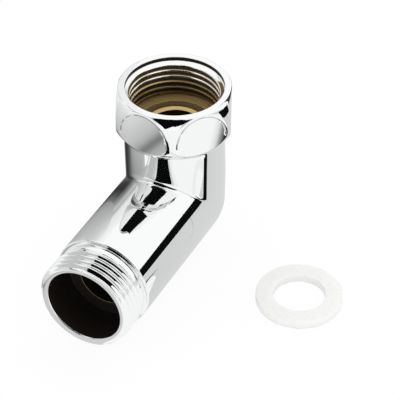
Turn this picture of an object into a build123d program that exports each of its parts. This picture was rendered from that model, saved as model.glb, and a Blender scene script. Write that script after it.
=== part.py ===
"""Angle connector that joins a heated towel rail to its wall outlet, with the washer that seals it.

The body is one piece of brass, forged, drilled and turned: a six-sided collar with the rail socket, a round
neck, a bend with a ball heel, and a tube that ends in the wall thread. The washer is taken out of the socket
and lies beside the body. The centre lines of the socket and the tube cross at the origin, +Z goes up out of
the socket, and the tube runs along -Y to the wall.
"""

import os

from build123d import *

os.makedirs("parts", exist_ok=True)

# Parallel pipe thread of one inch, drawn as plain cylinders
thread_major = 33.249
thread_minor = 30.291

# Reach from the crossing of the centre lines
socket_rise = 46.65
wall_reach = 66.5

# Neck, heel and tube
neck_top_diameter = 35.5
heel_diameter = 34.7
tube_diameter = 34.4
crease_radius = 2.0

# Collar: turned to a ball above its crown and drawn in below it, with six flats milled on it
collar_height = 16.75
across_flats = 39.0
crown_diameter = 44.0
crown_height = 6.4
rim_chamfer = 1.0
land_diameter = 38.8
land_height = 0.8
flats_turn = 24.0

# Rail socket, down from the rim
socket_mouth_diameter = 34.0
socket_thread_end = 14.1
socket_relief_diameter = 33.6
seat_depth = 15.65
recess_diameter = 25.8
recess_depth = 0.6

# Waterway, drilled from both ends to the crossing
waterway_diameter = 18.5
drill_point = 5.6

# Wall end, back from its face
wall_thread_length = 13.2
relief_width = 1.8
relief_diameter = 30.0
shoulder_chamfer = 0.7
end_chamfer = 0.9
counterbore_diameter = 27.0
counterbore_depth = 14.5
bore_chamfer = 0.3

# Sealing washer, laid on the level of the tube's underside
washer_diameter = 30.0
washer_hole_diameter = 18.0
washer_thickness = 3.0
washer_chamfer = 0.3
washer_x = 54.6
washer_y = -13.8

# Levels and radii that follow
collar_bottom = socket_rise - collar_height
land_top = collar_bottom + land_height
crown_level = collar_bottom + crown_height
rim_radius = ((crown_diameter / 2) ** 2 - (socket_rise - crown_level) ** 2) ** 0.5
seat_level = socket_rise - seat_depth
shelf_level = seat_level - recess_depth
thread_end_level = socket_rise - socket_thread_end
lead_in = (socket_mouth_diameter - thread_minor) / 2
shoulder_reach = wall_reach - wall_thread_length
ground_level = -tube_diameter / 2


with BuildPart() as elbow_body:
    # Collar barrel, from the land at its foot over the crown to the rim
    with BuildSketch(Plane.XZ) as barrel:
        with BuildLine():
            Polyline(
                (land_diameter / 2, land_top),
                (land_diameter / 2, collar_bottom),
                (0, collar_bottom),
                (0, socket_rise),
                (rim_radius, socket_rise),
            )
            TangentArc((crown_diameter / 2, crown_level), (rim_radius, socket_rise), tangent=(0, 1))
            TangentArc((crown_diameter / 2, crown_level), (land_diameter / 2, land_top), tangent=(0, -1))
        make_face()
        rim_corner = barrel.vertices().group_by(Axis.Y)[-1].sort_by(Axis.X)[-1]
        chamfer(rim_corner, length=rim_chamfer)
    revolve(axis=Axis.Z)

    # Six flats
    with BuildSketch(Plane.XY.offset(collar_bottom)):
        RegularPolygon(across_flats / 2, side_count=6, major_radius=False, rotation=flats_turn - 90)
    extrude(amount=collar_height, mode=Mode.INTERSECT)

    # Neck, drawn in towards the bend, and the ball heel below it
    with BuildSketch(Plane.XZ):
        with BuildLine():
            Polyline(
                (heel_diameter / 2, 0),
                (neck_top_diameter / 2, collar_bottom),
                (0, collar_bottom),
                (0, -heel_diameter / 2),
            )
            RadiusArc((0, -heel_diameter / 2), (heel_diameter / 2, 0), -heel_diameter / 2)
        make_face()
    revolve(axis=Axis.Z)

    # Tube with its shoulder, the relief behind the wall thread, and the thread's own cylinder
    with BuildSketch(Plane.YZ):
        with BuildLine():
            Polyline(
                (0, 0),
                (0, tube_diameter / 2),
                (shoulder_chamfer - shoulder_reach, tube_diameter / 2),
                (-shoulder_reach, tube_diameter / 2 - shoulder_chamfer),
                (-shoulder_reach, relief_diameter / 2),
                (-shoulder_reach - relief_width, relief_diameter / 2),
                (-shoulder_reach - relief_width, thread_major / 2),
                (end_chamfer - wall_reach, thread_major / 2),
                (-wall_reach, thread_major / 2 - end_chamfer),
                (-wall_reach, 0),
                close=True,
            )
        make_face()
    revolve(axis=Axis.Y)

    # Crease where the tube runs into the neck and the heel
    fillet(elbow_body.edges(Select.NEW), radius=crease_radius)

    # Rail socket: lead-in, thread, relief, washer seat, recess, and the waterway down to its drill point
    with BuildSketch(Plane.XZ):
        with BuildLine():
            Polyline(
                (0, socket_rise),
                (socket_mouth_diameter / 2, socket_rise),
                (thread_minor / 2, socket_rise - lead_in),
                (thread_minor / 2, thread_end_level),
                (socket_relief_diameter / 2, thread_end_level),
                (socket_relief_diameter / 2, seat_level),
                (recess_diameter / 2, seat_level),
                (recess_diameter / 2, shelf_level),
                (waterway_diameter / 2, shelf_level),
                (waterway_diameter / 2, 0),
                (0, -drill_point),
                close=True,
            )
        make_face()
    revolve(axis=Axis.Z, mode=Mode.SUBTRACT)

    # Waterway along the tube, from its drill point to the counterbore of the wall end
    with BuildSketch(Plane.YZ):
        with BuildLine():
            Polyline(
                (drill_point, 0),
                (0, waterway_diameter / 2),
                (counterbore_depth - wall_reach, waterway_diameter / 2),
                (counterbore_depth - wall_reach, counterbore_diameter / 2),
                (bore_chamfer - wall_reach, counterbore_diameter / 2),
                (-wall_reach, counterbore_diameter / 2 + bore_chamfer),
                (-wall_reach, 0),
                close=True,
            )
        make_face()
    revolve(axis=Axis.Y, mode=Mode.SUBTRACT)

elbow_body.part.label = "elbow_body"
export_step(elbow_body.part, "parts/elbow_body.step")


with BuildPart() as sealing_washer:
    with BuildSketch(Plane.XY.offset(ground_level)):
        with Locations((washer_x, washer_y)):
            Circle(washer_diameter / 2)
            Circle(washer_hole_diameter / 2, mode=Mode.SUBTRACT)
    extrude(amount=washer_thickness)
    outer_edges = sealing_washer.edges().filter_by(GeomType.CIRCLE).group_by(SortBy.RADIUS)[-1]
    chamfer(outer_edges, length=washer_chamfer)

sealing_washer.part.label = "sealing_washer"
export_step(sealing_washer.part, "parts/sealing_washer.step")
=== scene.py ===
"""Looks of a towel rail angle connector: the chrome-plated elbow, its sealing washer and a white studio.

The elbow is one closed skin of turned, milled and threaded surfaces, drawn in millimetres on one set of
columns that run down the collar, round the bend and along the tube. The washer is turned from its profile.
"""

import math

import bmesh
import bpy
import numpy as np
from bpy.props import FloatProperty, FloatVectorProperty, IntProperty, PointerProperty
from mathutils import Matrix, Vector


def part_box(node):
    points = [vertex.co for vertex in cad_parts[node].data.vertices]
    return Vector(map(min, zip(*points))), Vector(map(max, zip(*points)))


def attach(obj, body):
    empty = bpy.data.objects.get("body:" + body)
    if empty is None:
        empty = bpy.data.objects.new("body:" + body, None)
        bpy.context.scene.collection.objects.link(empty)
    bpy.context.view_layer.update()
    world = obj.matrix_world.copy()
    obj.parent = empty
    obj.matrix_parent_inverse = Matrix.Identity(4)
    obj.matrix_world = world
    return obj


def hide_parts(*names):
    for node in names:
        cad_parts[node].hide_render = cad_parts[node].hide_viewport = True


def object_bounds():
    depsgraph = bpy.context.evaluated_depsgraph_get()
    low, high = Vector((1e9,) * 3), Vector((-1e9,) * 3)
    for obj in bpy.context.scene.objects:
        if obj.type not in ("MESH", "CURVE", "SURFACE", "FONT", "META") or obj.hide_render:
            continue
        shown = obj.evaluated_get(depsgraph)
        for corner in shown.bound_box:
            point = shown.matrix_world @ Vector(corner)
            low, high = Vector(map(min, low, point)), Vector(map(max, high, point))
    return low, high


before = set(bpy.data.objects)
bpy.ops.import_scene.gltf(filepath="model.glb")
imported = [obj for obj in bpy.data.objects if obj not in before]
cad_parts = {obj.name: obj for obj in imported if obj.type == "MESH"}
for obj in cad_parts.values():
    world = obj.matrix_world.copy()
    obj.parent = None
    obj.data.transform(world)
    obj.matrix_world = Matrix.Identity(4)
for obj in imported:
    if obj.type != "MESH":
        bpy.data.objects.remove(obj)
cad_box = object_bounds()

bl_info = {
    "name": "Towel rail angle connector",
    "version": (1, 0, 0),
    "blender": (4, 5, 0),
    "location": "View3D > Sidebar > Connector",
    "description": "Builds a chrome angle connector, its sealing washer and a white studio",
    "category": "Object",
}

MM = 0.001
# Points closer than this, in metres, are joined
MERGE = 2e-7
# Steps of each search by halving
HALVINGS = 50

# The finish of each point of the elbow, from dark brown painted into bores, recesses, grooves and thread
# roots as painted shade, with lighter painted highlights on some edges, over turned brass to bright plate
# Darkest: dark brown painted into the bores and under the rim, a painted shade
DEEP_SHADE = 0.0
SHADED = 0.1
# Dark brown painted into the recess below the seat, a painted shade
RECESS_SHADE = 0.12
# Darker brass painted into the foot of the groove, a painted shade
GROOVE_SHADE = 0.2
DULL = 0.25
# Lighter brass painted along edges between the dark faces, a painted highlight
EDGE_HIGHLIGHT = 0.3
TURNED = 0.4
BRASS = 0.5
BRIGHT_BRASS = 0.56
SATIN = 0.85
CHROME = 1.0

# Half the angle between the thread's flanks, and the radius of its crests and roots in pitches
FLANK = math.radians(27.5)
NOSE = 0.137329
# Share of the cut depth that the wall thread shows under its plate
PLATED_DEPTH = 0.78
# Width in millimetres of the rounded edge between a flat and the turned barrel
FLAT_EDGE = 0.3
# Length of neck and tube that is left to the collar's fillet and to the shoulder's round
END_ROOM = 0.4
# Depth of the countersink at the waterway's top, and of the broken edge at its wall end
COUNTERSINK = 0.75
BORE_EDGE = 0.2

# Points across and up each card of the studio's dome
DOME_COLUMNS = 49
DOME_ROWS = 16


def linear(code):
    """Linear RGB of an sRGB hex value."""
    channels = [int(code[i:i + 2], 16) / 255 for i in (1, 3, 5)]
    return tuple(c / 12.92 if c <= 0.04045 else ((c + 0.055) / 1.055) ** 2.4 for c in channels)


def length(name, description, millimetres):
    """A property for one length of the object."""
    return FloatProperty(
        name=name, description=description, default=millimetres * MM, unit="LENGTH", subtype="DISTANCE")


def tint(name, description, code):
    """A property for one colour."""
    return FloatVectorProperty(
        name=name, description=description, default=linear(code), size=3, min=0, max=1, subtype="COLOR")


class ElbowSettings(bpy.types.PropertyGroup):
    """Sizes and colours of the elbow."""

    columns: IntProperty(
        name="Columns", description="Mesh columns round the elbow, a multiple of 12", default=180)
    thread_major: length("Thread major", "Diameter over the crests of the pipe thread", 33.249)
    thread_minor: length("Thread minor", "Diameter over the roots of the pipe thread", 30.291)
    thread_pitch: length("Thread pitch", "Distance from crest to crest", 2.309)
    socket_rise: length("Socket rise", "Height of the rim above the crossing of the centre lines", 46.65)
    wall_reach: length("Wall reach", "Reach of the wall end from the crossing", 66.5)
    neck_top: length("Neck top", "Diameter of the neck under the collar", 35.5)
    bend: length("Bend", "Diameter of the neck, the heel and the tube at the bend", 34.7)
    tube: length("Tube", "Diameter of the tube at its shoulder", 34.4)
    crease: length("Crease radius", "Round of the crease where the tube runs into the neck", 2.0)
    collar_height: length("Collar height", "Height of the collar", 16.75)
    across_flats: length("Across flats", "Distance between two opposite flats", 39.0)
    crown: length("Crown", "Diameter of the ball that the collar is turned to", 44.0)
    crown_height: length("Crown height", "Height of the collar's widest ring above its foot", 6.4)
    rim_round: length("Rim round", "Round of the rim's outer edge", 0.7)
    land: length("Land", "Diameter of the land at the collar's foot", 38.8)
    land_height: length("Land height", "Height of the land", 0.8)
    flats_turn: FloatProperty(
        name="Flats turn", description="Angle of a ridge between two flats from the tube's side",
        default=math.radians(24.0), subtype="ANGLE")
    mouth: length("Socket mouth", "Diameter of the plain entry at the rim", 34.0)
    entry_depth: length("Entry depth", "Depth of the plain entry above the socket thread", 1.5)
    thread_depth: length("Socket thread", "Depth of the socket thread from the rim", 14.1)
    socket_relief: length("Socket relief", "Diameter of the groove under the socket thread", 33.6)
    seat_depth: length("Seat depth", "Depth of the washer seat from the rim", 15.65)
    recess: length("Recess", "Diameter of the recess inside the seat", 25.8)
    recess_depth: length("Recess depth", "Depth of the recess below the seat", 0.6)
    waterway: length("Waterway", "Diameter of the drilled waterway", 18.5)
    drill_point: length("Drill point", "Length of the drill's point past the crossing", 5.6)
    wall_thread: length("Wall thread", "Length of the wall end from its shoulder", 13.2)
    ring_width: length("Ring width", "Width of the plain ring behind the wall thread", 3.2)
    ring: length("Ring", "Diameter of the plain ring behind the wall thread", 32.6)
    shoulder_round: length("Shoulder round", "Round of the tube's shoulder", 0.5)
    end_chamfer: length("End chamfer", "Chamfer of the wall thread's end", 0.9)
    counterbore: length("Counterbore", "Diameter of the wall end's counterbore", 27.0)
    counterbore_depth: length("Counterbore depth", "Depth of the counterbore", 14.5)
    bore_chamfer: length("Bore chamfer", "Chamfer of the counterbore's edge", 0.3)
    chrome: tint("Chrome", "Colour of the chrome plate", "#F4F5F5")
    brass: tint("Brass", "Colour of the bare turned brass in the socket", "#F0D08A")
    # This dark brown is painted shade deep in the bores and under the rim, not a colour of the brass
    drilled: tint("Drilled brass", "Colour of the oiled brass in the drilled bores", "#2A231E")


class WasherSettings(bpy.types.PropertyGroup):
    """Sizes and colour of the sealing washer."""

    outer: length("Outer diameter", "Diameter over the washer", 30.0)
    hole: length("Hole diameter", "Diameter of the washer's hole", 18.0)
    edge: length("Edge round", "Round of the washer's edges", 0.35)
    columns: IntProperty(name="Columns", description="Mesh columns round the washer", default=144)
    white: tint("White", "Colour of the washer", "#F5F5F2")


class StudioSettings(bpy.types.PropertyGroup):
    """Camera and light of the studio."""

    camera_place: FloatVectorProperty(
        name="Camera place", description="Where the camera stands", default=(0.232144, -0.444258, 0.403784),
        size=3, subtype="TRANSLATION", unit="LENGTH")
    camera_aim: FloatVectorProperty(
        name="Camera aim", description="The way the camera looks", default=(-0.34778, 0.69411, -0.63030),
        size=3, subtype="DIRECTION")
    lens: FloatProperty(
        name="Lens", description="Focal length of the camera in millimetres", default=163.67)
    ground: tint("Ground", "Colour of the floor", "#FFFFFF")


def smooth(x):
    """Rises from 0 to 1 without a kink."""
    x = np.clip(x, 0.0, 1.0)
    return x * x * (3.0 - 2.0 * x)


class Skin:
    """Grids of points in millimetres, joined into one mesh where their edges meet."""

    def __init__(self):
        self.points = []
        self.finish = []
        self.faces = []
        self.count = 0

    def add(self, grid, finish):
        """Adds rows of points as a sheet of quads, with a value of the finish for all or for each point."""
        rows, columns = grid.shape[:2]
        index = self.count + np.arange(rows * columns).reshape(rows, columns)
        quads = np.stack([index[:-1, :-1], index[:-1, 1:], index[1:, 1:], index[1:, :-1]], axis=-1)
        self.faces.extend(quads.reshape(-1, 4).tolist())
        self.points.append(grid.reshape(-1, 3))
        self.finish.append(np.broadcast_to(finish, (rows, columns)).reshape(-1))
        self.count += rows * columns

    def build(self, name, closed=True):
        """Makes the object, with the finish kept as an attribute of its points."""
        mesh = bpy.data.meshes.new(name)
        mesh.from_pydata((np.concatenate(self.points) * MM).tolist(), [], self.faces)
        layer = mesh.attributes.new("finish", "FLOAT", "POINT")
        layer.data.foreach_set("value", np.concatenate(self.finish).astype(np.float32))
        work = bmesh.new()
        work.from_mesh(mesh)
        bmesh.ops.remove_doubles(work, verts=work.verts, dist=MERGE)
        bmesh.ops.recalc_face_normals(work, faces=work.faces)
        loose = [edge for edge in work.edges if not edge.is_manifold]
        if closed and loose:
            raise RuntimeError(
                f"{name} is not closed: {len(loose)} open edges, the first at {loose[0].verts[0].co}")
        for face in work.faces:
            face.smooth = True
        work.to_mesh(mesh)
        work.free()
        piece = bpy.data.objects.new(name, mesh)
        bpy.context.scene.collection.objects.link(piece)
        return piece


class Sizes:
    """The elbow's settings in millimetres, with the levels that follow from them."""

    def __init__(self, settings):
        for key in ElbowSettings.__annotations__:
            if key not in ("columns", "flats_turn", "chrome", "brass", "drilled"):
                setattr(self, key, getattr(settings, key) / MM)
        self.turn = settings.flats_turn + np.linspace(0.0, 2.0 * math.pi, settings.columns + 1)
        self.sin = np.sin(self.turn)
        self.cos = np.cos(self.turn)
        self.columns = settings.columns
        self.collar_bottom = self.socket_rise - self.collar_height
        self.land_top = self.collar_bottom + self.land_height
        self.crown_level = self.collar_bottom + self.crown_height
        lift = self.socket_rise - self.rim_round - self.crown_level
        self.rim = math.sqrt((self.crown / 2 - self.rim_round) ** 2 - lift ** 2)
        self.seat = self.socket_rise - self.seat_depth
        self.shelf = self.seat - self.recess_depth
        self.thread_end = self.socket_rise - self.thread_depth
        self.shoulder = self.wall_thread - self.wall_reach

    def upright(self, radius, level):
        """A ring round the socket's axis."""
        radius = np.broadcast_to(radius, self.turn.shape)
        level = np.broadcast_to(level, radius.shape)
        return np.stack([radius * self.sin, -radius * self.cos, level], axis=-1)

    def lying(self, radius, reach):
        """A ring round the tube's axis."""
        radius = np.broadcast_to(radius, self.turn.shape)
        reach = np.broadcast_to(reach, radius.shape)
        return np.stack([radius * self.sin, reach, radius * self.cos], axis=-1)


def thread_profile(size, along):
    """Radius of the rounded 55 degree pipe thread at a distance along its axis."""
    pitch = size.thread_pitch
    middle = (size.thread_major + size.thread_minor) / 4
    half_depth = (size.thread_major - size.thread_minor) / 4
    slope = 1.0 / math.tan(FLANK)
    nose = NOSE * pitch
    width = nose * math.cos(FLANK)
    off = np.abs(along / pitch - np.floor(along / pitch) - 0.5) * pitch
    flank = middle + (pitch / 4 - off) * slope
    crest = middle + half_depth - nose + np.sqrt(np.maximum(nose ** 2 - off ** 2, 0.0))
    gap = pitch / 2 - off
    root = middle - half_depth + nose - np.sqrt(np.maximum(nose ** 2 - gap ** 2, 0.0))
    return np.where(off < width, crest, np.where(gap < width, root, flank))


def thread_rows(size, low, high, start=0.0, rows_a_turn=16):
    """Points along a right-hand helix between two levels: the level, and the radius of the thread there."""
    pitch = size.thread_pitch
    count = math.ceil(rows_a_turn * (1.0 + (high - low) / pitch)) + 1
    part = np.arange(size.columns + 1) / size.columns
    level = low + pitch * (np.arange(count)[:, None] / rows_a_turn - 1.0 + part[None, :])
    level = np.clip(level, low, high)
    return level, thread_profile(size, level - low - start - pitch * part[None, :])


def bend_rows(size, radius, corner, top, far, heel, rows=(12, 16, 16)):
    """Columns that run down from a level, turn at the crossing and run along the tube.

    On the inside of the bend each column follows the ball of the corner radius that rolls in the crease. On
    the outside it follows the points that the heel function gives.
    """
    down, turn, along = rows
    s, c = size.sin, size.cos
    inside = c > 0
    meet = np.where(inside, (radius + corner) * c, 0.0)
    grid = []
    for row in range(down + 1):
        level = top + (meet - top) * row / down
        grid.append(np.stack([radius * s, -radius * c, level], axis=-1))
    centre = (radius + corner) * np.stack([s, -c, c], axis=-1)
    first = np.stack([s, -c, np.zeros_like(s)], axis=-1)
    second = np.stack([s, np.zeros_like(s), c], axis=-1)
    angle = np.arccos(np.clip(s * s, -1.0, 1.0))[:, None]
    for row in range(1, turn + 1):
        part = row / turn
        way = (np.sin((1 - part) * angle) * first + np.sin(part * angle) * second) / np.sin(angle)
        grid.append(np.where(inside[:, None], centre - corner * way, heel(part)))
    for row in range(1, along + 1):
        reach = -meet + (far + meet) * row / along
        grid.append(np.stack([radius * s, reach, radius * c], axis=-1))
    return np.stack(grid), meet, down, turn


def add_bend(skin, size):
    """Neck, bend and tube, with the slight taper of both legs."""
    radius = size.bend / 2
    far = size.shoulder + size.shoulder_round + END_ROOM
    top = size.collar_bottom - END_ROOM

    def ball(part):
        swing = part * math.pi / 2
        back = -radius * size.cos * math.cos(swing)
        level = radius * size.cos * math.sin(swing)
        return np.stack([radius * size.sin, back, level], axis=-1)

    grid, meet, down, turn = bend_rows(size, radius, size.crease, top, far, ball)
    flare = size.neck_top / size.bend - 1.0
    rows = np.arange(len(grid))
    held = np.clip((rows - down) / turn, 0.0, 1.0)
    level = np.where(rows[:, None] <= down, grid[:, :, 2], meet[None, :] * (1.0 - smooth(held))[:, None])
    scale = 1.0 + flare * np.maximum(level, 0.0) / size.collar_bottom
    grid[:, :, 0] *= scale
    grid[:, :, 1] = np.where(rows[:, None] <= down + turn, grid[:, :, 1] * scale, grid[:, :, 1])
    run = np.clip((rows - down - turn) / (len(grid) - 1 - down - turn), 0.0, 1.0)
    slim = 1.0 + (size.tube / size.bend - 1.0) * run[:, None]
    grid[:, :, 0] *= slim
    grid[:, :, 2] = np.where(rows[:, None] > down + turn, grid[:, :, 2] * slim, grid[:, :, 2])
    skin.add(grid, CHROME)
    return grid[0], grid[-1]


def barrel_radius(size, level):
    """Radius of the turned collar: drawn in below the crown, a ball above it, and a round at the rim."""
    crown, crown_level, land = size.crown / 2, size.crown_level, size.land / 2
    drop = crown_level - size.land_top
    swell = (drop ** 2 + (crown - land) ** 2) / (2 * (crown - land))
    below = crown - swell + np.sqrt(np.maximum(swell ** 2 - (level - crown_level) ** 2, 0.0))
    above = np.sqrt(crown ** 2 - (level - crown_level) ** 2)
    centre = size.socket_rise - size.rim_round
    rounded = size.rim + np.sqrt(np.maximum(size.rim_round ** 2 - (level - centre) ** 2, 0.0))
    start = crown_level + (centre - crown_level) * crown / (crown - size.rim_round)
    return np.where(level < crown_level, below, np.where(level < start, above, rounded))


def add_collar(skin, size, rim_start, side_rows=20):
    """The barrel with its six flats, in rings from each sector's border in over the flat's edge."""
    flat = size.across_flats / 2
    per_side = size.columns // 6
    low, high = size.land_top, rim_start
    middle = (low + high) / 2
    # The edge is slim at the foot and widens over this height
    slim = 0.3 * FLAT_EDGE
    widening = 3.0

    def proud(angle, level):
        return barrel_radius(size, level) - flat / np.cos(angle)

    def place(angle, level, centre):
        turned, milled = barrel_radius(size, level), flat / np.cos(angle)
        width = slim + (FLAT_EDGE - slim) * smooth((level - low) / widening)
        blend = np.maximum(width - np.abs(turned - milled), 0.0)
        radius = np.minimum(turned, milled) - blend ** 2 / (4 * width)
        return np.stack([radius * np.sin(centre + angle), -radius * np.cos(centre + angle), level], axis=-1)

    across = np.linspace(-math.pi / 6, math.pi / 6, per_side + 1)
    up = np.linspace(low, high, side_rows + 1)
    border = np.concatenate([
        np.stack([across, np.full(per_side + 1, low)], axis=-1)[:-1],
        np.stack([np.full(side_rows + 1, math.pi / 6), up], axis=-1)[:-1],
        np.stack([across[::-1], np.full(per_side + 1, high)], axis=-1)[:-1],
        np.stack([np.full(side_rows + 1, -math.pi / 6), up[::-1]], axis=-1)])
    ray = border - np.array([0.0, middle])

    def reach(amount):
        near, far = np.full(len(ray), 0.2), np.ones(len(ray))
        for _ in range(HALVINGS):
            half = (near + far) / 2
            inside = proud(half * ray[:, 0], middle + half * ray[:, 1]) > amount
            near, far = np.where(inside, half, near), np.where(inside, far, half)
        return near

    outer, oval = reach(-slim), reach(0.0)
    rings = [outer + (1.0 - outer) * part for part in (1.0, 0.75, 0.5, 0.25)]
    rings += [reach(amount * FLAT_EDGE) for amount in (-0.3, -0.15, 0.0, 0.2, 0.45, 0.7, 1.0, 1.3)]
    rings += [oval * 0.93, oval * 0.86]
    sheet = np.stack([part[:, None] * ray for part in rings])
    sides = np.cumsum([0, per_side, side_rows, per_side, side_rows])
    inner = sheet[-1]
    bottom, top = inner[sides[0]:sides[1] + 1], inner[sides[2]:sides[3] + 1][::-1]
    right, left = inner[sides[1]:sides[2] + 1], inner[sides[3]:sides[4] + 1][::-1]
    u = np.linspace(0.0, 1.0, per_side + 1)[None, :, None]
    v = np.linspace(0.0, 1.0, side_rows + 1)[:, None, None]
    fill = (1 - v) * bottom[None] + v * top[None] + (1 - u) * left[:, None] + u * right[:, None]
    corners = (1 - u) * (1 - v) * bottom[0] + u * (1 - v) * bottom[-1]
    fill -= corners + (1 - u) * v * top[0] + u * v * top[-1]
    for side in range(6):
        centre = size.turn[0] + (side + 0.5) * math.pi / 3
        for field in (sheet, fill):
            skin.add(place(field[..., 0], middle + field[..., 1], centre), CHROME)


def add_wall_end(skin, size, shoulder_ring):
    """Shoulder, plain ring, wall thread, end face and counterbore, down to the waterway."""
    foot = size.shoulder - size.ring_width
    ring, tube, rounding = size.ring / 2, size.tube / 2, size.shoulder_round
    rings = [shoulder_ring, size.lying(tube, size.shoulder + rounding + 0.1)]
    for swing in np.linspace(0.0, math.pi / 2, 8):
        reach = size.shoulder + rounding * (1.0 - math.sin(swing))
        rings.append(size.lying(tube - rounding * (1.0 - math.cos(swing)), reach))
    rings += [size.lying(radius, reach) for radius, reach in [
        (ring - 0.55, size.shoulder), (ring - 0.6, size.shoulder - 0.08),
        (ring - 0.55, size.shoulder - 0.3), (ring, foot)]]
    skin.add(np.stack(rings), np.array([CHROME] * 11 + [SATIN] * 3)[:, None])
    # The thread runs out into the plain ring at its foot and into the chamfer at its end
    level, radius = thread_rows(size, -size.wall_reach, foot, start=0.6)
    crest = size.thread_major / 2
    radius = crest - PLATED_DEPTH * (crest - radius)
    end = crest - size.end_chamfer + (level + size.wall_reach)
    back = foot - level
    radius = np.clip(np.minimum(radius, end), ring - 2.0 * back, ring + 1.6 * back)
    grid = np.stack([radius * size.sin, level, radius * size.cos], axis=-1)
    skin.add(grid, CHROME)
    bore, water = size.counterbore / 2, size.waterway / 2
    step = size.counterbore_depth - size.wall_reach
    rings = [grid[0]]
    rings += [size.lying(radius, reach) for radius, reach in [
        (bore + size.bore_chamfer, -size.wall_reach), (bore, size.bore_chamfer - size.wall_reach)]]
    skin.add(np.stack(rings), np.array([CHROME, SATIN, SATIN])[:, None])
    # The counterbore's wall, its step and the waterway's start are painted dark brown as painted shade in
    # the bore; the step's inner edge gets a lighter painted highlight
    rings = [rings[-1]]
    rings += [size.lying(radius, reach) for radius, reach in [
        (bore, size.bore_chamfer + 0.06 - size.wall_reach), (bore, step - 5.0), (bore, step - 0.3),
        (bore - 0.1, step - 0.08), (bore - 0.35, step), (water + 0.2, step), (water + 0.05, step + 0.05),
        (water, step + BORE_EDGE)]]
    skin.add(np.stack(rings), np.array([SATIN] + [DEEP_SHADE] * 6 + [EDGE_HIGHLIGHT, DEEP_SHADE])[:, None])


def add_waterway(skin, size):
    """Two drilled holes that meet at the crossing, each with the drill's point."""
    radius = size.waterway / 2
    far = size.counterbore_depth - size.wall_reach + BORE_EDGE
    top = size.shelf - COUNTERSINK
    x = radius * size.sin
    point = size.drill_point
    crossing_round = 0.2

    def cone(part):
        start = -radius * size.cos
        near, away = np.zeros_like(start), np.maximum(start, 0.0)
        for _ in range(HALVINGS):
            half = (near + away) / 2
            past = half > point * (1.0 - np.sqrt(x ** 2 + half ** 2) / radius)
            near, away = np.where(past, near, half), np.where(past, half, away)
        share = min(part, 1.0 - part) * 2
        wide = start + (near - start) * share
        deep = point * (1.0 - np.sqrt(x ** 2 + wide ** 2) / radius)
        pair = (wide, -deep) if part <= 0.5 else (deep, -wide)
        return np.stack([x, pair[0], pair[1]], axis=-1)

    grid = bend_rows(size, radius, crossing_round, top, far, cone, rows=(8, 12, 8))[0]
    # The whole waterway is painted dark brown: painted shade in the hole
    skin.add(grid, DEEP_SHADE)
    return grid[0]


def add_socket(skin, size, waterway_ring):
    """Countersink, recess, washer seat, groove, socket thread and the plain entry under the rim."""
    water, recess, groove = size.waterway / 2, size.recess / 2, size.socket_relief / 2
    rings = [waterway_ring]
    rings += [size.upright(radius, level) for radius, level in [
        (water + 0.06, size.shelf - 0.65), (water + 0.14, size.shelf - 0.6),
        (water + 1.2, size.shelf - 0.03), (water + 1.3, size.shelf), (water + 1.45, size.shelf),
        (recess - 0.15, size.shelf), (recess, size.shelf + 0.12), (recess, size.seat - 0.1),
        (recess + 0.1, size.seat)]]
    # The recess below the seat is painted dark as painted shade, with lighter painted highlights at its
    # edges
    finish = [DEEP_SHADE] + [BRASS] * 3 + [EDGE_HIGHLIGHT] + [RECESS_SHADE] * 3 + [EDGE_HIGHLIGHT, TURNED]
    skin.add(np.stack(rings), np.array(finish)[:, None])
    # The seat has three turned marks, each cut steeply on its inner side
    rings = [rings[-1]]
    mark = [(-0.12, 0.0), (0.0, 0.3), (0.62, 0.0)]
    for place in (recess + 0.5, recess + 1.6, recess + 2.7):
        rings += [size.upright(place + side, size.seat - deep) for side, deep in mark]
    rings += [size.upright(radius, level) for radius, level in [
        (groove - 0.25, size.seat), (groove - 0.06, size.seat + 0.06), (groove, size.seat + 0.25),
        (groove, size.thread_end)]]
    # The groove's foot and wall are painted darker: painted shade in the groove
    finish = [TURNED] + [TURNED, BRIGHT_BRASS, TURNED] * 3 + [TURNED, GROOVE_SHADE, SHADED, DULL]
    skin.add(np.stack(rings), np.array(finish)[:, None])
    # The thread runs out into the groove at its foot and into a steep cone under the entry
    step, mouth = size.socket_rise - size.entry_depth, size.mouth / 2
    level, radius = thread_rows(size, size.thread_end, step, start=-0.9)
    cone = mouth - 0.05 - 2.1 * (step - level)
    root = radius > np.maximum(size.thread_minor / 2 + 0.4, cone + 0.3)
    runout = groove - 2.2 * (level - size.thread_end)
    radius = np.max([radius, cone, runout], axis=0)
    grid = np.stack([radius * size.sin, -radius * size.cos, level], axis=-1)
    # The plate fades out on the way down, and the thread's roots are painted dark: painted shade in the
    # roots
    height = (level - size.thread_end) / (step - size.thread_end)
    plate = DULL + (CHROME - DULL) * smooth(8.0 * height - 3.0)
    skin.add(grid, plate * (1.0 - 0.93 * root))
    rings = [grid[-1]]
    # The plain entry under the rim is painted dark: painted shade under the rim
    rings += [size.upright(mouth, level) for level in (
        step + 0.05, step + 0.2, size.socket_rise - 0.2, size.socket_rise - 0.08)]
    skin.add(np.stack(rings), np.array([CHROME, SHADED, DEEP_SHADE, DEEP_SHADE, SHADED])[:, None])
    return rings[-1]


def add_rim(skin, size, mouth_ring):
    """The flat rim between the socket's entry and the rounded edge of the barrel."""
    rise, mouth = size.socket_rise, size.mouth / 2
    reach = size.across_flats / 2 - FLAT_EDGE - size.rim
    start = rise - size.rim_round + math.sqrt(size.rim_round ** 2 - reach ** 2)
    swing = np.linspace(math.pi / 2, math.acos(reach / size.rim_round), 7)
    rings = [mouth_ring, size.upright(mouth, rise - 0.02), size.upright(mouth + 0.08, rise),
             size.upright(mouth + 0.25, rise)]
    rings += [
        size.upright(
            size.rim + size.rim_round * math.cos(way), rise - size.rim_round * (1.0 - math.sin(way)))
        for way in swing]
    skin.add(np.stack(rings), CHROME)
    return start


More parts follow.
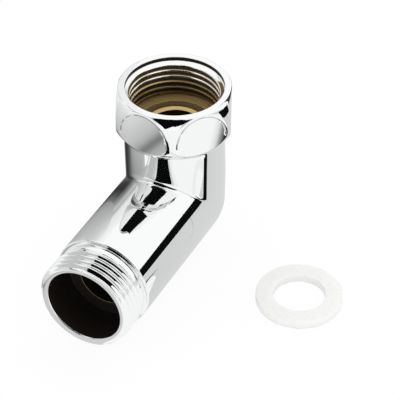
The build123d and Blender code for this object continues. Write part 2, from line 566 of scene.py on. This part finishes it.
def add_foot(skin, size, neck_ring):
    """Land and underside of the collar, with the small fillet into the neck."""
    land, neck, bottom = size.land / 2, size.neck_top / 2, size.collar_bottom
    rings = [size.upright(radius, level) for radius, level in [
        (land, size.land_top), (land, bottom + 0.25), (land - 0.07, bottom + 0.08), (land - 0.25, bottom),
        (neck + 0.4, bottom), (neck + 0.15, bottom - 0.05), (neck + 0.04, bottom - 0.16)]]
    rings.append(neck_ring)
    skin.add(np.stack(rings), CHROME)


def add_node(tree, kind, settings=None, links=None):
    """Adds a node with its settings, and links to its inputs from other nodes' outputs."""
    node = tree.nodes.new(kind)
    for key, value in (settings or {}).items():
        if key in node.inputs:
            node.inputs[key].default_value = value
        else:
            setattr(node, key, value)
    for key, source in (links or {}).items():
        tree.links.new(source, node.inputs[key])
    return node


def new_material(name):
    """An empty node material and its tree."""
    material = bpy.data.materials.new(name)
    material.use_nodes = True
    material.node_tree.nodes.clear()
    return material, material.node_tree


def chrome_plated_brass(settings):
    """Polished brass under bright chrome plate: a clear mirror, bare gold, and dark brown painted in the
    bores as painted shade.
    """
    material, tree = new_material("chrome_plated_brass_polished")
    finish = add_node(tree, "ShaderNodeAttribute", {"attribute_name": "finish"})
    colour = add_node(tree, "ShaderNodeValToRGB", None, {"Fac": finish.outputs["Fac"]})
    stops = colour.color_ramp.elements
    # The darkest stop paints shade into the bores, recesses, grooves and thread roots
    stops[0].position, stops[0].color = DEEP_SHADE, (*settings.drilled, 1.0)
    stops[1].position, stops[1].color = SATIN, (*settings.chrome, 1.0)
    stops.new(BRASS).color = (*settings.brass, 1.0)
    rough = add_node(tree, "ShaderNodeMapRange", {
        "From Min": DULL, "From Max": CHROME, "To Min": 0.5, "To Max": 0.03}, {
        "Value": finish.outputs["Fac"]})
    metal = add_node(tree, "ShaderNodeValToRGB", None, {"Fac": finish.outputs["Fac"]})
    stops = metal.color_ramp.elements
    stops[0].position, stops[0].color = DEEP_SHADE, (0.5, 0.5, 0.5, 1.0)
    stops[1].position, stops[1].color = SATIN, (1.0, 1.0, 1.0, 1.0)
    for position, level in ((DULL, 0.9), (BRASS, 0.35)):
        stops.new(position).color = (level, level, level, 1.0)
    shader = add_node(tree, "ShaderNodeBsdfPrincipled", None, {
        "Base Color": colour.outputs["Color"], "Metallic": metal.outputs["Color"],
        "Roughness": rough.outputs["Result"]})
    add_node(tree, "ShaderNodeOutputMaterial", None, {"Surface": shader.outputs["BSDF"]})
    return material


def moulded_white(settings):
    """Moulded white polyethylene: soft, slightly translucent, no sharp gloss."""
    material, tree = new_material("polyethylene_moulded_white")
    place = add_node(tree, "ShaderNodeTexCoord")
    cloud = 1.2 * MM
    grain = add_node(tree, "ShaderNodeTexNoise", {"Scale": 1.0 / cloud, "Detail": 3.0},
                     {"Vector": place.outputs["Object"]})
    colour = add_node(tree, "ShaderNodeValToRGB", None, {"Fac": grain.outputs["Fac"]})
    stops = colour.color_ramp.elements
    stops[0].position, stops[0].color = 0.35, (*[0.97 * part for part in settings.white], 1.0)
    stops[1].position, stops[1].color = 0.6, (*settings.white, 1.0)
    rough = add_node(tree, "ShaderNodeMapRange", {"To Min": 0.42, "To Max": 0.58},
                     {"Value": grain.outputs["Fac"]})
    shader = add_node(tree, "ShaderNodeBsdfPrincipled", {
        "IOR": 1.51, "Subsurface Weight": 0.3, "Subsurface Radius": (0.003, 0.003, 0.0025),
        "Subsurface Scale": 1.0}, {
        "Base Color": colour.outputs["Color"], "Roughness": rough.outputs["Result"]})
    add_node(tree, "ShaderNodeOutputMaterial", None, {"Surface": shader.outputs["BSDF"]})
    return material


def white_floor(settings):
    """Matt white paper: plain white to the eye and in the metal, and it keeps a faint shadow."""
    material, tree = new_material("paper_matt_white")
    path = add_node(tree, "ShaderNodeLightPath")
    seen = add_node(tree, "ShaderNodeMath", {"operation": "MAXIMUM"})
    tree.links.new(path.outputs["Is Camera Ray"], seen.inputs[0])
    tree.links.new(path.outputs["Is Glossy Ray"], seen.inputs[1])
    seen_all = add_node(tree, "ShaderNodeMath", {"operation": "MAXIMUM"})
    tree.links.new(seen.outputs[0], seen_all.inputs[0])
    tree.links.new(path.outputs["Is Transmission Ray"], seen_all.inputs[1])
    share = add_node(tree, "ShaderNodeMath", {"operation": "MULTIPLY"})
    tree.links.new(seen_all.outputs[0], share.inputs[0])
    # The rest of what is seen is lit paper, which holds the shadow
    share.inputs[1].default_value = 0.9
    paper = add_node(tree, "ShaderNodeBsdfDiffuse", {"Color": (*settings.ground, 1.0)})
    glow = add_node(tree, "ShaderNodeEmission", {"Color": (*settings.ground, 1.0), "Strength": 1.0})
    mix = add_node(tree, "ShaderNodeMixShader")
    tree.links.new(share.outputs[0], mix.inputs[0])
    tree.links.new(paper.outputs[0], mix.inputs[1])
    tree.links.new(glow.outputs[0], mix.inputs[2])
    add_node(tree, "ShaderNodeOutputMaterial", None, {"Surface": mix.outputs[0]})
    return material


def studio_card():
    """Glowing card of the studio: each point glows with its own grey, the painted light of a lit card, and
    it lights nothing.
    """
    material, tree = new_material("card_glowing_grey")
    shade = add_node(tree, "ShaderNodeAttribute", {"attribute_name": "finish"})
    glow = add_node(tree, "ShaderNodeEmission", None, {"Strength": shade.outputs["Fac"]})
    add_node(tree, "ShaderNodeOutputMaterial", None, {"Surface": glow.outputs["Emission"]})
    return material


class CONNECTOR_OT_elbow_body(bpy.types.Operator):
    """Build the chrome-plated elbow over its CAD node"""

    bl_idname = "connector.elbow_body"
    bl_label = "Elbow body"

    def execute(self, context):
        settings = context.scene.connector_elbow
        size = Sizes(settings)
        skin = Skin()
        neck_ring, shoulder_ring = add_bend(skin, size)
        add_wall_end(skin, size, shoulder_ring)
        mouth_ring = add_socket(skin, size, add_waterway(skin, size))
        add_collar(skin, size, add_rim(skin, size, mouth_ring))
        add_foot(skin, size, neck_ring)
        piece = skin.build("elbow_body_chrome")
        piece.data.materials.append(chrome_plated_brass(settings))
        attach(piece, "root")
        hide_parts("elbow_body")
        return {"FINISHED"}


class CONNECTOR_OT_sealing_washer(bpy.types.Operator):
    """Build the sealing washer over its CAD node"""

    bl_idname = "connector.sealing_washer"
    bl_label = "Sealing washer"

    def execute(self, context):
        settings = context.scene.connector_washer
        low, high = (np.array(corner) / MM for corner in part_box("sealing_washer"))
        x, y = (low[:2] + high[:2]) / 2
        outer, inner, edge = settings.outer / MM / 2, settings.hole / MM / 2, settings.edge / MM
        profile = []
        for radius, level, start in (
                (outer - edge, high[2] - edge, 90), (outer - edge, low[2] + edge, 0),
                (inner + edge, low[2] + edge, 270), (inner + edge, high[2] - edge, 180)):
            for swing in np.radians(start - np.linspace(0.0, 90.0, 7)):
                profile.append((radius + edge * math.cos(swing), level + edge * math.sin(swing)))
        profile.append(profile[0])
        turn = np.linspace(0.0, 2.0 * math.pi, settings.columns + 1)
        radius, level = (np.array(values)[:, None] for values in zip(*profile))
        places = np.broadcast_arrays(x + radius * np.cos(turn), y + radius * np.sin(turn), level)
        grid = np.stack(places, axis=-1)
        skin = Skin()
        skin.add(grid, 0.0)
        piece = skin.build("sealing_washer_white")
        piece.data.materials.append(moulded_white(settings))
        piece.visible_glossy = False
        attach(piece, "root")
        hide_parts("sealing_washer")
        return {"FINISHED"}


def add_floor(settings, half=3.0):
    """A wide white floor at the level that the object lies on."""
    level = cad_box[0][2]
    mesh = bpy.data.meshes.new("studio_floor")
    corners = [(-half, -half, level), (half, -half, level), (half, half, level), (-half, half, level)]
    mesh.from_pydata(corners, [], [(0, 1, 2, 3)])
    mesh.materials.append(white_floor(settings))
    floor = bpy.data.objects.new("studio_floor", mesh)
    bpy.context.scene.collection.objects.link(floor)


def dome_card(azimuth, low, high, reach, centre=(0.0, 0.0, 0.0)):
    """Points of a card on a ball round a centre, between two heights in degrees that follow the azimuth."""
    across = np.linspace(0, 1, DOME_COLUMNS)
    given = np.linspace(0, 1, len(azimuth))
    turn, bottom, top = (np.radians(np.interp(across, given, values)) for values in (azimuth, low, high))
    rise = bottom + (top - bottom) * np.linspace(0.0, 1.0, DOME_ROWS)[:, None]
    flat = reach * np.cos(rise)
    ball = np.broadcast_arrays(flat * np.sin(turn), -flat * np.cos(turn), reach * np.sin(rise))
    return np.stack(ball, axis=-1) + np.array(centre)


def flat_card(*sides):
    """Points of a card that lies just above the floor, between two or more rows of places."""
    lift = 0.3
    level = cad_box[0][2] / MM + lift
    return np.array([[(x, y, level) for x, y in side] for side in sides])


def add_card(name, grid, shade, material):
    """A glowing card that only the metal sees, with its own grey glow at each point."""
    skin = Skin()
    skin.add(grid, shade)
    card = skin.build(name, closed=False)
    card.data.materials.append(material)
    card.visible_camera = False
    card.visible_diffuse = False
    card.visible_transmission = False
    card.visible_shadow = False


def add_dome_cards(material):
    """The dark room behind the camera, open low above the floor, and pale greys at the left."""
    dark = 0.003
    room = dome_card((-15, -4, 4, 10, 16, 24, 58, 64), (9, 6, 4, 3, 6, 9.5, 9.5, 24),
                     (50, 50, 50, 50, 50, 50, 47, 40), 1200.0)
    room_top = dome_card((-28, -9, 10, 50), (43, 43.5, 46, 46), (73, 73, 73, 73), 1210.0)
    room_left = dome_card((-96, -84, -71, -58, -45), (31, 36, 37.5, 38.5, 40), (39, 43, 45, 46, 46), 1205.0)
    add_card("card_room", room, dark, material)
    add_card("card_room_top", room_top, dark, material)
    add_card("card_room_left", room_left, dark, material)
    # The greys fade upwards
    across = np.linspace(0, 1, DOME_COLUMNS)
    pale = np.interp(across, (0.0, 0.25, 0.64, 0.72, 1.0), (0.88, 0.78, 0.76, 0.58, 0.58))
    fade = smooth(np.linspace(-2.0, 1.0, DOME_ROWS))[:, None]
    pale_left = dome_card((-150, -10), (0, 0), (46, 46), 1300.0)
    pale_back = dome_card((-200, -147), (0, 0), (31, 31), 1300.0)
    grey_left = dome_card((-146, -126), (0, 0), (32, 32), 1250.0)
    add_card("card_pale_left", pale_left, pale + (1.0 - pale) * fade, material)
    add_card("card_pale_back", pale_back, 0.66 + 0.34 * fade, material)
    add_card("card_grey_left", grey_left, 0.4 + 0.5 * fade, material)


def add_dark_cards(material):
    """Dark cards far at the right, behind the collar, beside the neck and in front of the flats."""
    dark = 0.004
    gap = np.array([[(152, 130, level), (200, 62, level)] for level in (-2.0, 50.0)])
    add_card("card_gap", gap, dark, material)
    # The flag is drawn on a ball round the collar, then moved off from the rim's right side
    flag = dome_card((105.5, 113, 119, 125, 131, 137), (4, 6, 11, 16, 20, 24),
                     (37, 43, 43, 42, 40, 34), 27.0, (0.0, 0.0, 42.0))
    collar = np.array([19.3, -0.3, 45.9])
    add_card("card_flag", collar + 1.8 * (flag - collar), 0.04, material)
    # The strip stands at the right of the neck and twists as it rises
    half_width = 3.0
    strip = []
    for level, turn in ((17.0, 135.4), (12.5, 134.2), (8.6, 133.6), (1.0, 135.4), (-3.0, 137.8),
                        (-7.6, 141), (-12.0, 145)):
        across = np.array([math.sin(math.radians(turn)), -math.cos(math.radians(turn)), 0.0])
        strip.append([(29.5, -5.6, level) + side * across for side in (-half_width, half_width)])
    add_card("card_strip", np.array(strip), dark, material)
    edge = np.array([[(1.2, -27.5, level), (7.8, -27.5, level)] for level in (22.0, 35.0)])
    add_card("card_left_edge", edge, dark, material)


def add_low_cards(material):
    """Greys on the floor, and a pale grey low in front at the right."""
    near = [(8, -66), (25, -40), (48, -14), (70, 2), (105, 14), (420, 140)]
    middle = [(2, -30), (12, 0), (30, 20), (60, 40), (110, 120), (300, 400)]
    far = [(-10, 20), (0, 40), (20, 60), (50, 120), (100, 300), (200, 600)]
    greys = np.array([0.68, 0.72, 0.75])[:, None]
    add_card("card_floor_right", flat_card(near, middle, far), greys, material)
    fall = [(-120, 0.8), (-62, 0.76), (-50, 0.56), (-47, 0.44), (-44, 0.22), (-42.5, 0.24), (-40, 0.42),
            (-30, 0.62), (6, 0.68)]
    front = flat_card(*[[(x, y) for x, _ in fall] for y in (-64, -140)])
    greys = np.array([shade for _, shade in fall])[None, :]
    add_card("card_floor_front", front, greys, material)
    left = flat_card([(-2, -22), (-2, -48)], [(-50, -22), (-50, -48)])
    side = flat_card([(-50, 60), (-50, -64)], [(-260, 60), (-260, -64)])
    add_card("card_floor_left", left, 0.5, material)
    add_card("card_floor_side", side, 0.8, material)
    dark = flat_card(*[[(74, y), (104, y)] for y in (11, -13.5, -15, -16.5, -18.5)]) + (0, 0, 0.2)
    greys = np.array([0.01, 0.01, 0.3, 0.8, 1.0])[:, None]
    add_card("card_floor_dark", dark, greys, material)
    pale_front = dome_card((40, 120), (-0.5, -0.5), (9.5, 9.5), 1300.0)
    add_card("card_pale_front", pale_front, 0.72, material)


def add_left_cards(material):
    """Graded cards that stand to the left of neck, tube and wall thread, paler towards the top."""
    ground = cad_box[0][2] / MM
    plane = -27.0
    fall = [(-34, 0.45), (-20, 0.33), (-14, 0.2), (-10, 0.09), (-6, 0.035), (-2, 0.05), (4, 0.2), (8, 0.4)]
    front = [(-40.5, 0.56), (-37.0, 0.5), (-34, 0.45)]
    tall = [(ground, 0.0), (0.0, 0.0), (10.0, 0.12), (20.0, 0.22), (30.0, 0.4), (40.0, 0.65),
            (50.0, 0.9), (60.0, 1.0)]
    low = [(ground, 0.0), (16.0, 0.0), (22.0, 0.2), (29.0, 0.6)]
    lowest = [(ground, 0.0), (8.0, 0.0), (22.0, 0.4)]
    for name, places, levels in (("card_tube_left", fall[:3], tall), ("card_neck_left", fall[2:], low),
                                 ("card_thread_left", front, lowest)):
        grid = np.array([[(plane, y, level) for y, _ in places] for level, _ in levels])
        shade = np.array([[dark + (1.0 - dark) * pale for _, dark in places] for _, pale in levels])
        add_card(name, grid, shade, material)


def add_cards():
    """Cards that the chrome mirrors: a dark room in front, and greys at the sides and on the floor."""
    material = studio_card()
    add_dome_cards(material)
    add_dark_cards(material)
    add_low_cards(material)
    add_left_cards(material)


def add_world():
    """Soft white light from all round."""
    world = bpy.data.worlds.new("studio_world")
    world.use_nodes = True
    world.node_tree.nodes.clear()
    light = add_node(world.node_tree, "ShaderNodeBackground", {
        "Color": (1.0, 1.0, 1.0, 1.0), "Strength": 1.05})
    add_node(world.node_tree, "ShaderNodeOutputWorld", None, {"Surface": light.outputs["Background"]})
    bpy.context.scene.world = world


def add_camera(settings):
    """The camera at the photograph's viewing angle."""
    camera = bpy.data.cameras.new("studio_camera")
    camera.sensor_width = 36.0
    camera.lens = settings.lens
    camera.clip_start = 0.01
    holder = bpy.data.objects.new("studio_camera", camera)
    holder.location = settings.camera_place
    holder.rotation_euler = Vector(settings.camera_aim).to_track_quat("-Z", "Y").to_euler()
    bpy.context.scene.collection.objects.link(holder)
    bpy.context.scene.camera = holder


class CONNECTOR_OT_studio(bpy.types.Operator):
    """Build the white studio: floor, cards, world and camera"""

    bl_idname = "connector.studio"
    bl_label = "Studio"

    def execute(self, context):
        settings = context.scene.connector_studio
        context.scene.view_settings.view_transform = "Standard"
        add_floor(settings)
        add_cards()
        add_world()
        add_camera(settings)
        return {"FINISHED"}


class CONNECTOR_PT_panel(bpy.types.Panel):
    """The connector's pieces and studio"""

    bl_idname = "CONNECTOR_PT_panel"
    bl_label = "Angle connector"
    bl_space_type = "VIEW_3D"
    bl_region_type = "UI"
    bl_category = "Connector"

    def draw(self, context):
        for operator in OPERATORS:
            self.layout.operator(operator.bl_idname)


SETTINGS = {
    "connector_elbow": ElbowSettings,
    "connector_washer": WasherSettings,
    "connector_studio": StudioSettings,
}
OPERATORS = (CONNECTOR_OT_elbow_body, CONNECTOR_OT_sealing_washer, CONNECTOR_OT_studio)


def register():
    for group in (*SETTINGS.values(), *OPERATORS, CONNECTOR_PT_panel):
        bpy.utils.register_class(group)
    for name, group in SETTINGS.items():
        setattr(bpy.types.Scene, name, PointerProperty(type=group))


def unregister():
    for name in SETTINGS:
        delattr(bpy.types.Scene, name)
    for group in (CONNECTOR_PT_panel, *OPERATORS, *SETTINGS.values()):
        bpy.utils.unregister_class(group)


def main():
    register()
    bpy.ops.connector.elbow_body()
    bpy.ops.connector.sealing_washer()
    bpy.ops.connector.studio()


if __name__ == "__main__":
    main()
